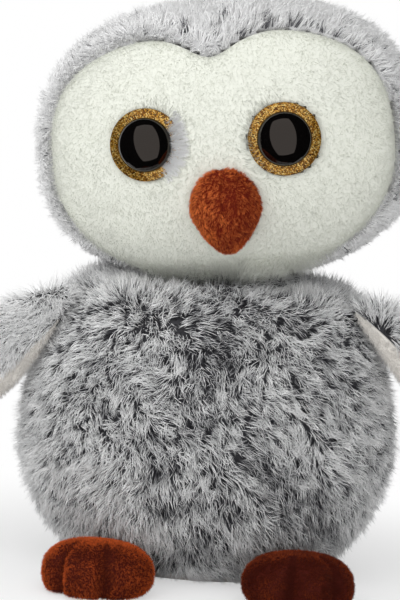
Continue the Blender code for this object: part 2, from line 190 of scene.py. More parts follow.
def bell(off):
    return np.exp(-off * off)


def ramp(values, low, high):
    return np.clip((values - low) / (high - low), 0, 1)


def unit(vectors):
    return vectors / np.maximum(np.linalg.norm(vectors, axis=1, keepdims=True), 1e-12)


def along_surface(vectors, normals):
    return unit(vectors - normals * (vectors * normals).sum(1, keepdims=True))


def flat_arrays(points, matrix):
    # The places as the matrix's own frame has them
    inverse = np.array(matrix.inverted())
    return points @ inverse[:3, :3].T + inverse[:3, 3]


def waves(points, period, seed, count=6):
    # Smooth hills and hollows of about that period, of no set direction
    rng = np.random.default_rng(seed)
    total = np.zeros(len(points))
    for direction in unit(rng.normal(size=(count, 3))):
        total += np.sin(points @ direction * math.tau / period + rng.uniform(0, math.tau))
    return total / math.sqrt(count)


def swirl(points, period, seed):
    # A direction that changes slowly from place to place
    return np.stack([waves(points, period, seed + axis) for axis in range(3)], 1)


# Forms


def rounded(point, half_sizes, power):
    spread = sum(abs(value) ** power for value in point) ** (1 / power)
    return Vector(value / spread * half for value, half in zip(point, half_sizes))


def ball(steps, shape):
    bm = bmesh.new()
    bmesh.ops.create_uvsphere(bm, u_segments=steps[0], v_segments=steps[1], radius=1)
    for vert in bm.verts:
        vert.co = shape(vert.co)
    bm.normal_update()
    bmesh.ops.recalc_face_normals(bm, faces=bm.faces)
    return bm


def turned(profile, steps):
    bm = bmesh.new()
    verts = [bm.verts.new((radius, 0, height)) for radius, height in profile]
    edges = [bm.edges.new(pair) for pair in zip(verts, verts[1:])]
    bmesh.ops.spin(
        bm,
        geom=verts + edges,
        cent=(0, 0, 0),
        axis=(0, 0, 1),
        angle=math.tau,
        steps=steps,
        use_merge=True,
    )
    bmesh.ops.remove_doubles(bm, verts=bm.verts, dist=0.01 * MM)
    bm.normal_update()
    bmesh.ops.recalc_face_normals(bm, faces=bm.faces)
    return bm


def body_form(inset):
    half_width = BODY_WIDTH / 2 - inset
    top = BODY_HEIGHT - inset
    side = [(share * half_width, inset + rise * (top - inset)) for share, rise in BODY_SIDE_SHARES]
    radius = NECK_RADIUS - inset
    start = math.asin(NECK_DROP / NECK_RADIUS)
    neck = []
    for step in range(8):
        angle = start + (math.pi / 2 - start) * step / 8
        neck.append((radius * math.cos(angle), NECK_HEIGHT + radius * math.sin(angle)))
    bm = turned([(0, inset)] + side + neck + [(0, NECK_HEIGHT + radius)], 96)
    bmesh.ops.scale(bm, vec=(1, BODY_DEPTH_SHARE, 1), verts=bm.verts)
    return bm


def head_form(inset, steps=(96, 64)):
    half = [size / 2 - inset for size in HEAD_SIZE]
    bm = ball(steps, lambda point: rounded(point, half, HEAD_POWER))
    bm.transform(HEAD_FRAME)
    return bm


def head_front(across, up):
    side = abs(2 * across / HEAD_SIZE[0])
    rise = abs(2 * up / HEAD_SIZE[2])
    return -((1 - side**HEAD_POWER - rise**HEAD_POWER) ** (1 / HEAD_POWER)) * HEAD_SIZE[1] / 2


def eye_frame(side):
    across = side * EYE_SPREAD / 2
    rise = EYE_RISE - side * EYE_OFF_LEVEL
    seat = Matrix.Translation((across, head_front(across, rise) + EYE_SINK, rise))
    return HEAD_FRAME @ seat @ Euler((math.pi / 2, 0, side * EYE_SPLAY)).to_matrix().to_4x4()


def wing_form(side, inset):
    half_length = WING_LENGTH / 2
    hinge = WING_HINGE_SHARE * half_length
    slim = 1 - 2 * inset / WING_THICK

    def shape(point):
        along = point.z
        swell = 1 + 0.5 * along
        chord = point.x * (WING_WIDTH / 2 - inset) * swell
        belly = 6 * MM * math.sin(math.pi / 2 * (1 + along)) ** 2 * (along + 1) / 2
        thick = point.y * WING_THICK / 2 * slim * swell
        return Vector((side * (along * (half_length - inset) + hinge), thick, chord - belly))

    bm = ball((48, 40), shape)
    bm.transform(wing_frame(side))
    return bm


def beak_form(inset):
    half = [size / 2 - inset for size in BEAK_SIZE]

    def shape(point):
        place = rounded(point, half, 2.1)
        place.x *= 1 + 0.42 * min(0, point.z)
        return place

    bm = ball((64, 40), shape)
    seat = Matrix.Translation((BEAK_ASIDE, head_front(BEAK_ASIDE, -BEAK_DROP), -BEAK_DROP))
    bm.transform(HEAD_FRAME @ seat)
    return bm


def foot_form(side, inset):
    half_length = FOOT_SIZE[1] / 2
    hinge = FOOT_HINGE_SHARE * half_length
    half = [size / 2 - inset for size in FOOT_SIZE]
    floor = inset - FOOT_PIVOT[2]

    def shape(point):
        angle = abs(math.atan2(point.x, -point.y))
        rim = point.x * point.x + point.y * point.y
        notch = 1 - 0.20 * rim * bell((angle - math.radians(27)) / math.radians(9))
        place = rounded(point, half, 2.3)
        back = place.y / half_length
        narrow = 1 - 0.5 * max(0, back)
        swell = 1 - 0.35 * back
        height = max(floor, place.z * swell)
        return Vector((place.x * notch * narrow, place.y * notch - hinge, height))

    bm = ball((72, 36), shape)
    bm.transform(foot_frame(side))
    return bm


# Where each panel lies


def inside_face_seam(local):
    # How far inside the face panel's seam a place on the head lies, as seen from the front
    across = local[:, 0]
    up = local[:, 2] + FACE_MIDDLE_DROP
    angle = np.arctan2(up, across)
    cos = np.abs(np.cos(angle)) + 1e-9
    sin = np.sin(angle)
    power = np.where(sin >= 0, 2.8, 2.1)
    reach = np.where(sin >= 0, FACE_RISE, FACE_FALL)
    edge = ((cos / FACE_HALF_WIDTH) ** power + (np.abs(sin) / reach) ** power) ** (-1 / power)
    # The dip in the middle of the heart's top
    edge = edge - np.where(sin > 0, 11 * MM * bell(edge * cos / (16 * MM)), 0)
    return edge - np.hypot(across, up)


def on_face(points):
    local = flat_arrays(points, HEAD_FRAME)
    return (inside_face_seam(local) > 0) & (local[:, 1] < -FACE_CHIN_BACK)


def in_socket(points, grow):
    radius = NECK_RADIUS + grow
    place = points - np.array((0, 0, NECK_HEIGHT))
    place = place / np.array((radius, radius * BODY_DEPTH_SHARE, radius))
    return (place**2).sum(1) < 1


def by_eye(points, side):
    # Distance from an eye's axis, and the place round it counted from the beak side
    local = flat_arrays(points, eye_frame(side))
    return np.hypot(local[:, 0], local[:, 1]), -side * local[:, 0]


# Skins: the cloth under the pile, a closed shell


def keep_faces(bm, test):
    centres = np.array([face.calc_center_median() for face in bm.faces])
    doomed = [face for face, keep in zip(bm.faces, test(centres)) if not keep]
    bmesh.ops.delete(bm, geom=doomed, context="FACES")
    return bm


def keep_side(bm, point, outward):
    # Cuts a form at a plane. Vertices near the plane snap onto it, so that no sliver faces are left
    bmesh.ops.bisect_plane(
        bm,
        geom=bm.verts[:] + bm.edges[:] + bm.faces[:],
        plane_co=point,
        plane_no=outward,
        dist=0.02 * MM,
        clear_outer=True,
    )
    return bm


def cloth(bm, thick):
    # Turns an open skin into a shell with its thickness inward
    bmesh.ops.remove_doubles(bm, verts=bm.verts, dist=0.03 * MM)
    bmesh.ops.dissolve_degenerate(bm, edges=bm.edges, dist=0.03 * MM)
    bmesh.ops.recalc_face_normals(bm, faces=bm.faces)
    bm.normal_update()
    bmesh.ops.solidify(bm, geom=bm.faces[:], thickness=thick)
    return bm


def edge_to_seam(bm, inset):
    # Moves the ragged edge of the face's skin onto the seam, where the seam is near
    half = [size / 2 - inset for size in HEAD_SIZE]
    rim = [vert for vert in bm.verts if vert.is_boundary]
    local = flat_arrays(np.array([vert.co for vert in rim]), HEAD_FRAME)
    off = inside_face_seam(local)
    grown = 1 + off / np.hypot(local[:, 0], local[:, 2] + FACE_MIDDLE_DROP)
    across = local[:, 0] * grown
    up = (local[:, 2] + FACE_MIDDLE_DROP) * grown - FACE_MIDDLE_DROP
    rest = 1 - np.abs(across / half[0]) ** HEAD_POWER - np.abs(up / half[2]) ** HEAD_POWER
    near = (np.abs(off) < 2.5 * MM) & (rest > 0.02) & (local[:, 1] < -FACE_CHIN_BACK)
    for number in np.flatnonzero(near):
        depth = half[1] * rest[number] ** (1 / HEAD_POWER)
        rim[number].co = HEAD_FRAME @ Vector((across[number], -depth, up[number]))
    return bm


def mesh_of(bm, name):
    mesh = bpy.data.meshes.new(name)
    bm.to_mesh(mesh)
    bm.free()
    return mesh


# Pile: tapered fibres on a skin


def read_all(items, attribute, width, kind=np.float32):
    # One attribute of each vertex, loop or face, as rows
    values = np.empty(len(items) * width, kind)
    items.foreach_get(attribute, values)
    return values.reshape(-1, width)


def sorted_triangles(mesh):
    # Faces as fans from their lowest vertex, sorted, so that the order they were made in doesn't matter
    fans = []
    for face in mesh.polygons:
        ring = list(face.vertices)
        lowest = ring.index(min(ring))
        ring = ring[lowest:] + ring[:lowest]
        fans.extend((ring[0], *pair) for pair in zip(ring[1:], ring[2:]))
    return np.array(sorted(fans))


def scatter(form, count, rng):
    # Places spread evenly over a form, with the smooth normal at each
    mesh = mesh_of(form, "whole_form")
    corners = sorted_triangles(mesh)
    places = read_all(mesh.vertices, "co", 3).astype(float)
    normals = read_all(mesh.vertex_normals, "vector", 3).astype(float)
    bpy.data.meshes.remove(mesh)
    a, b, c = (places[corners[:, side]] for side in range(3))
    area = np.linalg.norm(np.cross(b - a, c - a), axis=1)
    chosen = np.searchsorted(np.cumsum(area) / area.sum(), rng.random(count))
    chosen = np.minimum(chosen, len(area) - 1)
    first = np.sqrt(rng.random(count))
    second = rng.random(count)
    weights = np.stack((1 - first, first * (1 - second), first * second), 1)[:, :, None]
    picked = corners[chosen]
    return (places[picked] * weights).sum(1), unit((normals[picked] * weights).sum(1))


def fibre_template(bends):
    # One fibre: a three-sided cone of height 1, with a ring at each bend
    bm = bmesh.new()
    bmesh.ops.create_cone(bm, segments=3, radius1=1, radius2=0, depth=1)
    bmesh.ops.translate(bm, vec=(0, 0, 0.5), verts=bm.verts)
    for height in bends:
        bmesh.ops.bisect_plane(
            bm,
            geom=bm.verts[:] + bm.edges[:] + bm.faces[:],
            plane_co=(0, 0, height),
            plane_no=(0, 0, 1),
        )
    under = [face for face in bm.faces if face.calc_center_median().z < 1e-6]
    bmesh.ops.delete(bm, geom=under, context="FACES")
    bmesh.ops.recalc_face_normals(bm, faces=bm.faces)
    bm.verts.index_update()
    places = np.array([vert.co for vert in bm.verts])
    faces = []
    for face in bm.faces:
        middle = face.calc_center_median()
        loops = []
        for vert in face.verts:
            turn = middle.x * vert.co.y - middle.y * vert.co.x
            loops.append((vert.index, (turn > 1e-6) - (turn < -1e-6), vert.co.z))
        faces.append(loops)
    bm.free()
    return places, faces


def nearest_leader(roots, clumps, rng):
    leaders = rng.choice(len(roots), clumps, replace=False)
    tree = KDTree(clumps)
    for number, leader in enumerate(leaders):
        tree.insert(roots[leader], number)
    tree.balance()
    found = np.array([tree.find(root)[1] for root in roots])
    return leaders[found], found


def grow(roots, normals, combs, rng, length, lean, width, clumps, pull, toss, stray, tone):
    # Each fibre's root, bend and tip, its width and how light it is. Fibres lean toward combs by the two
    # angles of lean, below and above the bend. A clump pulls its tips together and tosses them to one side
    count = len(roots)
    lengths = (length * rng.uniform(0.72, 1.15, count))[:, None]
    low, high = (np.broadcast_to(np.radians(degrees), count)[:, None] for degrees in lean)
    leader, group = nearest_leader(roots, clumps, rng)
    combs = combs + along_surface(rng.normal(0, 1, (clumps, 3))[group], normals) * toss
    first = unit(normals * np.cos(low) + combs * np.sin(low) + rng.normal(0, stray, (count, 3)))
    last = normals * np.cos(high) + combs * np.sin(high)
    last = unit(last + rng.normal(0, 1.3 * stray, (count, 3)))
    bends = roots + first * lengths / 2
    tips = bends + last * lengths / 2
    pulls = pull * rng.uniform(0.4, 1.0, clumps)[group][:, None]
    tips = tips + pulls * (tips[leader] - tips)
    bends = bends + 0.4 * pulls * (bends[leader] - bends)
    shade = tone(roots, rng.normal(0, 1, clumps)[group], rng.normal(0, 1, count))
    above_ground = 0.4 * MM
    tips[:, 2] = np.maximum(tips[:, 2], above_ground)
    bends[:, 2] = np.maximum(bends[:, 2], above_ground)
    return roots, bends, tips, width * rng.uniform(0.7, 1.2, count), np.clip(shade, 0.02, 0.98)


def pile_mesh(name, skin_form, thick, fibres, template, rng):
    # Joins a skin and its fibres into one mesh, with the dye's map on both. The skin is dyed as the roots are
    skin = mesh_of(cloth(skin_form, thick), f"{name}_skin")
    skin_places = read_all(skin.vertices, "co", 3)
    skin_loops = read_all(skin.loops, "vertex_index", 1, np.int32).ravel()
    skin_sizes = read_all(skin.polygons, "loop_total", 1, np.int32).ravel()
    bpy.data.meshes.remove(skin)

    roots, bends, tips, widths, shades = fibres
    places, faces = template
    count = len(roots)
    run = unit(tips - roots)
    across = unit(np.cross(run, rng.normal(size=(count, 3))))
    beside = np.cross(run, across)
    share = places[:, 2][None, :, None]
    line = roots[:, None] * (1 - share) ** 2 + 2 * bends[:, None] * share * (1 - share)
    line = line + tips[:, None] * share**2
    half_width = (widths / 2)[:, None, None] * (1 + share)
    ring = places[None, :, 0, None] * across[:, None] + places[None, :, 1, None] * beside[:, None]
    fibre_places = (line + half_width * ring).reshape(-1, 3)

    loop_vertex = np.concatenate([[entry[0] for entry in face] for face in faces])
    loop_side = np.concatenate([[entry[1] for entry in face] for face in faces]).astype(float)
    loop_height = np.concatenate([[entry[2] for entry in face] for face in faces]).astype(float)
    sizes = np.array([len(face) for face in faces])
    fibre_loops = np.arange(count)[:, None] * len(places) + loop_vertex[None, :] + len(skin_places)
    all_loops = np.concatenate((skin_loops, fibre_loops.ravel())).astype(np.int32)
    all_sizes = np.concatenate((skin_sizes, np.tile(sizes, count))).astype(np.int32)
    all_places = np.concatenate((skin_places, fibre_places)).astype(np.float32)

    mesh = bpy.data.meshes.new(name)
    mesh.vertices.add(len(all_places))
    mesh.vertices.foreach_set("co", all_places.ravel())
    mesh.loops.add(len(all_loops))
    mesh.loops.foreach_set("vertex_index", all_loops)
    mesh.polygons.add(len(all_sizes))
    mesh.polygons.foreach_set("loop_start", np.concatenate(([0], np.cumsum(all_sizes)[:-1])).astype(np.int32))
    mesh.update(calc_edges=True)
    map_places = np.empty((len(all_loops), 2), np.float32)
    map_places[: len(skin_loops)] = (0.5, 0.02)
    map_places[len(skin_loops) :, 0] = (shades[:, None] + 0.004 * loop_side[None, :]).ravel()
    map_places[len(skin_loops) :, 1] = np.tile(0.02 + 0.96 * loop_height, count)
    layer = mesh.uv_layers.new(name="OFBake")
    layer.data.foreach_set("uv", map_places.ravel())
    mesh.shade_smooth()
    return mesh


def add_piece(name, mesh, material, body, nodes, slot):
    piece = bpy.data.objects.new(name, mesh)
    bpy.context.scene.collection.objects.link(piece)
    mesh.materials.clear()
    mesh.materials.append(material)
    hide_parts(*nodes)
    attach(piece, body)
    return piece


# Fur fibres have a bend and plush fibres are straight. Then how many are strewn over each whole form, of
# which a piece keeps its own, and how long they are

LONG_FIBRE = fibre_template((0.5,))
SHORT_FIBRE = fibre_template(())
BODY_FIBRES, BODY_PILE = 100000, 9.8 * MM
HEAD_FIBRES, HEAD_PILE = 82000, 8.5 * MM
FACE_FIBRES, FACE_NAP = 170000, 1.3 * MM
TUFT_FIBRES, TUFT_PILE = 2600, 7.4 * MM
BEAK_FIBRES, BEAK_NAP = 26000, 2.2 * MM
WING_FIBRES, WING_PILE = 17000, 8.5 * MM
LINING_FIBRES, LINING_NAP = 26000, 2.4 * MM
FOOT_FIBRES, FOOT_NAP = 28000, 2.0 * MM

# Finishes

# Long fur dyed dark grey at the root and frosted white at the tip, so that each parting shows dark
FROSTED_FUR = pile_finish("frosted_polyester_fur", "#48484c", "#cacbcc", "#ffffff", (0.50, -0.04), 0.32)
# The head's lot of the same fur, frosted so deep that only some flecks are still dark
HEAD_FUR = pile_finish("pale_frosted_polyester_fur", "#606064", "#e6e6e6", "#ffffff", (1.2, -1.6), 0.40)
# Undyed short plush with an even, very fine nap
FACE_PLUSH = pile_finish("white_polyester_plush", "#e1e3d9", "#e4e6dc", "#ffffff", (0.3, 0.0))
# The same plush, a little warmer, rolled round the wings' edges
PALE_PLUSH = pile_finish("pale_polyester_plush", "#e8e4de", "#f2eee8", "#fffcf8", (0.3, 0.0))
# Short plush dyed rust, with painted shade: its roots are darker, as the shade down between the fibres
RUST_PLUSH = pile_finish("rust_polyester_plush", "#781f0b", "#aa3611", "#ff8c46", (0.4, 0.1))
# The same plush dyed red-brown; its light orange tips are painted light, where the nap is brushed up
RED_BROWN_PLUSH = pile_finish("red_brown_polyester_plush", "#4c1205", "#4a1305", "#cf5c26", (0.4, 0.1))


def plain_tone(middle, clump_spread, spread):
    # A tone says how light each fibre is, from its root's place, a number for its clump and one of its own
    return lambda roots, clump, own: middle + clump_spread * clump + spread * own


# Body

SKIN_INSET = 3 * MM
FUR_CLOTH = 1.8 * MM
WING_CLOTH = 1.4 * MM
PLUSH_CLOTH = 1.2 * MM

# Dark partings in the front of the body's fur: place across and up, and reach, in millimetres
PARTINGS = (
    (0, 118, 15),
    (0, 100, 8),
    (-44, 73, 5),
    (17, 62, 7),
    (24, 52, 7),
    (33, 45, 7),
    (45, 42, 7),
    (50, 28, 8),
    (-20, 50, 6),
    (-17, 36, 6),
    (-2, 22, 6),
    (30, 30, 12),
)


def body_tone(roots, clump, own):
    shade = 0.64 + 0.13 * waves(roots, 40 * MM, 5) + 0.15 * waves(roots, 13 * MM, 6)
    # Painted shade: the fur is darker toward the owl's left, the side away from the lamps
    shade = shade - 1.2 * roots[:, 0]
    for across, up, reach in PARTINGS:
        off = np.hypot(roots[:, 0] / MM - across, roots[:, 2] / MM - up) / reach
        shade = shade - 0.45 * bell(off) * (roots[:, 1] < 0)
    return shade + 0.31 * clump + 0.12 * own


def dress_body():
    rng = np.random.default_rng(11)
    roots, normals = scatter(body_form(SKIN_INSET), BODY_FIBRES, rng)
    keep = (roots[:, 2] < BODY_HEIGHT + 7 * MM) & (roots[:, 2] > SKIN_INSET + 0.1 * MM)
    roots, normals = roots[keep], normals[keep]
    # The fur falls, but is ruffled and stands up at the shoulders, beside the chin
    aside = ramp(np.abs(roots[:, 0]), 26 * MM, 38 * MM)
    collar = (ramp(roots[:, 2], 112 * MM, 120 * MM) * aside)[:, None]
    ruffle = (0.5 + 0.5 * collar) * swirl(roots, 34 * MM, 21)
    combs = along_surface(np.array((0.45, 0, -1)) * (1 - 0.8 * collar) + ruffle, normals)
    shoulder = ramp(roots[:, 2], 108 * MM, 116 * MM) * aside
    lengths = BODY_PILE * (1 + 0.25 * shoulder)
    # It is short where the wings are sewn on
    for side in (1, -1):
        root = np.array((side * 60 * MM, -30 * MM, 116 * MM))
        lengths = lengths * (1 - 0.7 * bell(np.linalg.norm(roots - root, axis=1) / (17 * MM)))
    # It is long and lies flat where it hangs over the feet
    drape = np.zeros(len(roots))
    for side in (1, -1):
        hem = np.array((side * 33 * MM, -56 * MM, 29 * MM))
        drape = drape + bell(np.linalg.norm((roots - hem) / np.array((22, 16, 7)), axis=1) / MM)
    lengths = lengths * (1 + 0.85 * drape)
    lean = (24 - 14 * shoulder - 46 * drape, 62 - 28 * shoulder - 4 * drape)
    fibres = grow(
        roots, normals, combs, rng, lengths, lean,
        width=0.40 * MM, clumps=8500, pull=0.32, toss=0.6, stray=0.26, tone=body_tone,
    )
    front = roots[:, 1] < SIDE_SEAM_BACK
    left = roots[:, 0] > 0
    seam = SIDE_SEAM_BACK
    above = (0, 0, BASE_THICK + GAP)
    for name, mask, sides in (
        ("body_front", front, [((0, seam, 0), (0, 1, 0))]),
        ("body_back_left", ~front & left, [((0, seam, 0), (0, -1, 0)), ((0, 0, 0), (-1, 0, 0))]),
        ("body_back_right", ~front & ~left, [((0, seam, 0), (0, -1, 0)), ((0, 0, 0), (1, 0, 0))]),
    ):
        skin = keep_side(body_form(SKIN_INSET), above, (0, 0, -1))
        for point, outward in sides:
            keep_side(skin, point, outward)
        kept = [part[mask] for part in fibres]
        mesh = pile_mesh(f"{name}_fur", skin, FUR_CLOTH, kept, LONG_FIBRE, rng)
        node = name.replace("_front", "_front_panel").replace("_back_", "_back_panel_")
        add_piece(f"{name}_fur", mesh, FROSTED_FUR, "body", [node], "frosted_fur")


def dress_head():
    rng = np.random.default_rng(12)
    roots, normals = scatter(head_form(SKIN_INSET), HEAD_FIBRES, rng)
    keep = ~on_face(roots) & ~in_socket(roots, 1 * MM)
    roots, normals = roots[keep], normals[keep]
    turn = np.array(HEAD_FRAME)[:3, :3]
    local = flat_arrays(roots, HEAD_FRAME)
    away = unit(local * np.array((1, 0, 1))) + np.array((0.5, 0.8, 0.1)) + 0.4 * swirl(roots, 40 * MM, 31)
    seam_off = inside_face_seam(local)
    # Combed over the face's seam, but parted above the owl's left eye, and combed back under the chin
    parted = (local[:, 0] > 4 * MM) & (local[:, 2] > 22 * MM)
    brow = bell(seam_off / (5 * MM)) * (local[:, 1] < 0) * ~parted
    toward = unit(np.stack((-0.5 * local[:, 0], np.full(len(local), -30 * MM), -local[:, 2]), 1))
    away = away * (1 - brow[:, None]) + 1.6 * brow[:, None] * toward
    chin = ramp(-local[:, 2], 30 * MM, 42 * MM)[:, None]
    away = away * (1 - chin) + np.array((0.3, 1.2, 0.2)) * chin
    combs = along_surface(away @ turn.T, normals)
    lengths = HEAD_PILE * (1 - 0.25 * brow) * (1 - 0.35 * chin[:, 0])

    def head_tone(roots, clump, own):
        shade = 0.90 + 0.10 * waves(roots, 26 * MM, 8) + 0.06 * waves(roots, 9 * MM, 9)
        flecks = np.clip(waves(roots, 7 * MM, 90) * waves(roots, 10 * MM, 91) - 0.7, 0, 1)
        edge = bell(seam_off / (6 * MM)) * parted
        return shade - 0.30 * edge - 1.1 * flecks + 0.14 * clump + 0.08 * own

    fibres = grow(
        roots, normals, combs, rng, lengths, (28, 66),
        width=0.40 * MM, clumps=8500, pull=0.45, toss=0.5, stray=0.2, tone=head_tone,
    )
    left = local[:, 0] > 0
    origin = HEAD_FRAME.translation
    for name, mask, sign in (("head_left", left, 1), ("head_right", ~left, -1)):
        skin = keep_faces(
            head_form(SKIN_INSET), lambda centres: ~on_face(centres) & ~in_socket(centres, 1 * MM)
        )
        keep_side(skin, origin, HEAD_FRAME.to_3x3() @ Vector((-sign, 0, 0)))
        kept = [part[mask] for part in fibres]
        mesh = pile_mesh(f"{name}_fur", skin, FUR_CLOTH, kept, LONG_FIBRE, rng)
        node = name.replace("head_", "head_panel_")
        add_piece(f"{name}_fur", mesh, HEAD_FUR, "head", [node], "frosted_fur")


def eye_tuft(roots, normals, rng):
    # The long tuft that hides the beak side of the right eye's ring and brushes the dome
    off, inner = by_eye(roots, -1)
    up = flat_arrays(roots, eye_frame(-1))[:, 1]
    turn = np.degrees(np.arctan2(up, inner))
    reach = 4.5 * MM
    lowest, highest = -64, 42
    band = np.flatnonzero((off < RING_DIAMETER / 2 + reach) & (turn > lowest) & (turn < highest))
    chosen = rng.choice(band, TUFT_FIBRES)
    start = roots[chosen] + along_surface(rng.normal(size=(TUFT_FIBRES, 3)), normals[chosen]) * 0.2 * MM
    around = normals[chosen]
    toward = along_surface(np.array(eye_frame(-1).translation) - start, around)
    shorter = np.clip(np.minimum(turn[chosen] - lowest, highest - turn[chosen]) / 14, 0.55, 1)
    shorter = shorter * (1 - 0.4 * (off[chosen] - RING_DIAMETER / 2) / reach)
    tone = plain_tone(0.95, 0.03, 0.03)
    return grow(
        start, around, toward, rng, TUFT_PILE * shorter, (54, 86),
        width=0.24 * MM, clumps=260, pull=0.3, toss=0.2, stray=0.12, tone=tone,
    )


def seam_dip(points):
    # The stitches pull the face's edge down into the seam
    return 1.3 * MM * bell(inside_face_seam(flat_arrays(points, HEAD_FRAME)) / (2.6 * MM))


def dress_face():
    rng = np.random.default_rng(13)
    inset = 0.5 * MM
    roots, normals = scatter(head_form(inset), FACE_FIBRES, rng)
    keep = on_face(roots) & ~in_socket(roots, 1 * MM)
    for side in (1, -1):
        keep &= by_eye(roots, side)[0] > RING_DIAMETER / 2 + 0.3 * MM
    roots, normals = roots[keep], normals[keep]
    combs = along_surface(np.array((0.15, 0, -1)) + 0.6 * swirl(roots, 30 * MM, 41), normals)
    lengths = FACE_NAP * np.ones(len(roots))
    # The nap is longer round the eyes, on the beak's side, and leans over their rings
    for side, reach in ((1, 1.6), (-1, 2.2)):
        off, inner = by_eye(roots, side)
        near = bell((off - RING_DIAMETER / 2) / (4.5 * MM)) * np.clip(0.3 + inner / (9 * MM), 0, 1)
        toward = along_surface(np.array(eye_frame(side).translation) - roots, normals)
        combs = combs + 3 * near[:, None] * toward
        lengths = lengths * (1 + reach * near)
    tufted = np.clip((lengths / FACE_NAP - 1) / 0.6, 0, 1)
    # It is longer under the chin, where it meets the body, and along the seam
    local = flat_arrays(roots, HEAD_FRAME)
    chin = ramp(-local[:, 2], 46 * MM, 54 * MM) * ramp(-np.abs(local[:, 0]), -46 * MM, -32 * MM)
    lengths = lengths * (1 + 4.5 * chin * ramp(-local[:, 1], 22 * MM, 34 * MM))
    lengths = lengths * (1 + bell(inside_face_seam(local) / (3 * MM)))
    tone = plain_tone(0.15, 0.0, 0.02)
    lean = (22 + 12 * tufted, 45 + 25 * tufted)
    roots = roots - normals * seam_dip(roots)[:, None]
    fibres = grow(
        roots, normals, combs, rng, lengths, lean,
        width=0.19 * MM, clumps=12000, pull=0, toss=0, stray=0.22, tone=tone,
    )
    tuft = eye_tuft(roots, normals, rng)
    fibres = [np.concatenate(parts) for parts in zip(fibres, tuft)]
    under_ring = RING_DIAMETER / 2 - 0.4 * MM
    skin = keep_faces(
        head_form(inset, (160, 110)),
        lambda centres: on_face(centres)
        & ~in_socket(centres, 1 * MM)
        & (by_eye(centres, 1)[0] > under_ring)
        & (by_eye(centres, -1)[0] > under_ring),
    )
    edge_to_seam(skin, inset)
    skin.normal_update()
    for vert, dip in zip(skin.verts, seam_dip(np.array([vert.co for vert in skin.verts]))):
        vert.co -= vert.normal * dip
    mesh = pile_mesh("face_plush", skin, FUR_CLOTH, fibres, SHORT_FIBRE, rng)
    add_piece("face_plush", mesh, FACE_PLUSH, "head", ["face_panel"], "face_plush")


def dress_beak():
    rng = np.random.default_rng(14)
    inset = 0.9 * MM
    turn = np.array(HEAD_FRAME)[:3, :3]
    # The middle seam draws a shallow groove
    shape = beak_form(inset)
    for vert in shape.verts:
        local = HEAD_FRAME.inverted() @ vert.co
        groove = bell((local.x - BEAK_ASIDE) / (0.9 * MM))
        vert.co += Vector(turn @ np.array((0, 0.7 * MM * groove, 0)))
    roots, normals = scatter(shape.copy(), BEAK_FIBRES, rng)
    local = flat_arrays(roots, HEAD_FRAME)
    front = np.array([head_front(x, z) for x, z in local[:, (0, 2)]])
    keep = local[:, 1] < front + 1.5 * MM
    roots, normals, local = roots[keep], normals[keep], local[keep]
    fall = np.array((0.0, -0.1, -1)) + 0.5 * swirl(roots, 12 * MM, 51)
    combs = along_surface(fall @ turn.T, normals)

    def tone(roots, clump, own):
        # Painted shade: darker toward the owl's left, away from the lamps, below, and in the groove along the
        # seam
        here = (flat_arrays(roots, HEAD_FRAME) - np.array((BEAK_ASIDE, 0, -BEAK_DROP))) / (16 * MM)
        shade = 0.62 - 0.30 * np.clip(here[:, 0], -0.5, 1) - 0.22 * np.clip(-here[:, 2], 0, 1)
        seam_shade = bell(here[:, 0] * 16 / 0.8) * (here[:, 2] > -0.1)
        return shade - 0.4 * seam_shade + 0.10 * waves(roots, 8 * MM, 10) + 0.20 * clump + 0.12 * own

    fibres = grow(
        roots, normals, combs, rng, BEAK_NAP, (30, 68),
        width=0.24 * MM, clumps=1300, pull=0.25, toss=0.45, stray=0.2, tone=tone,
    )
    left = local[:, 0] > BEAK_ASIDE
    origin = HEAD_FRAME @ Vector((BEAK_ASIDE, 0, 0))
    for name, mask, sign in (("left", left, 1), ("right", ~left, -1)):
        half = shape.copy()
        keep_faces(half, lambda centres: flat_arrays(centres, HEAD_FRAME)[:, 1] < -55 * MM)
        keep_side(half, origin, HEAD_FRAME.to_3x3() @ Vector((-sign, 0, 0)))
        kept = [part[mask] for part in fibres]
        mesh = pile_mesh(f"beak_{name}_plush", half, PLUSH_CLOTH, kept, SHORT_FIBRE, rng)
        add_piece(f"beak_{name}_plush", mesh, RUST_PLUSH, "head", [f"beak_{name}"], "rust_plush")
    shape.free()


